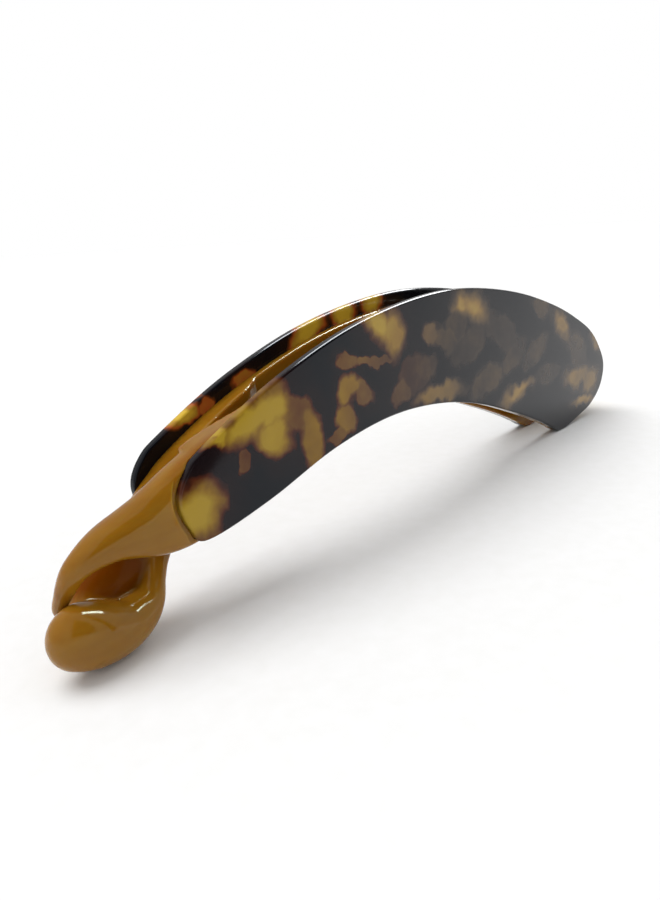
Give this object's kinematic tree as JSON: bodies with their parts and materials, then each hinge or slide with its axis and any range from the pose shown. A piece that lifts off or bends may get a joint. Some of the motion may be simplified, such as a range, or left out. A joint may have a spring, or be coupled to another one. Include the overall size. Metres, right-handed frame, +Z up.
{
  "type": "barrette",
  "caption": "Arched two-arm hair barrette with tortoiseshell-faced horn blades, a hidden barrel hinge at one end and twisted interlocking tips at the other",
  "frame": {"origin": "middle of the footprint, on the surface that the clip stands on", "axes": "+X runs along the clip to the hinge end, +Y to the far arm, +Z up"},
  "size_m": [0.1415, 0.01, 0.0348],
  "materials": {
    "horn": "polished horn-coloured cellulose acetate, slightly translucent",
    "tortoise": "polished tortoiseshell cellulose acetate, dark with amber patches",
    "hinge_brass": "pressed brass, lightly tumbled",
    "pin_steel": "drawn steel pin with peened heads"
  },
  "bodies": {
    "near_arm": {"near_horn_blade": "horn", "near_tortoise_plate": "tortoise", "near_hinge_leaf": "hinge_brass", "near_hinge_rivets": "hinge_brass", "hinge_pin": "pin_steel"},
    "far_arm": {"far_horn_blade": "horn", "far_tortoise_plate": "tortoise", "far_hinge_leaf": "hinge_brass", "far_hinge_rivets": "hinge_brass"}
  },
  "joints": [
    {"name": "clip_opening", "type": "hinge", "parent": "near_arm", "child": "far_arm", "pos_m": [0.0672, 0, 0.0094], "axis": [0, 0, -1], "range_deg": [0, 75]}
  ]
}
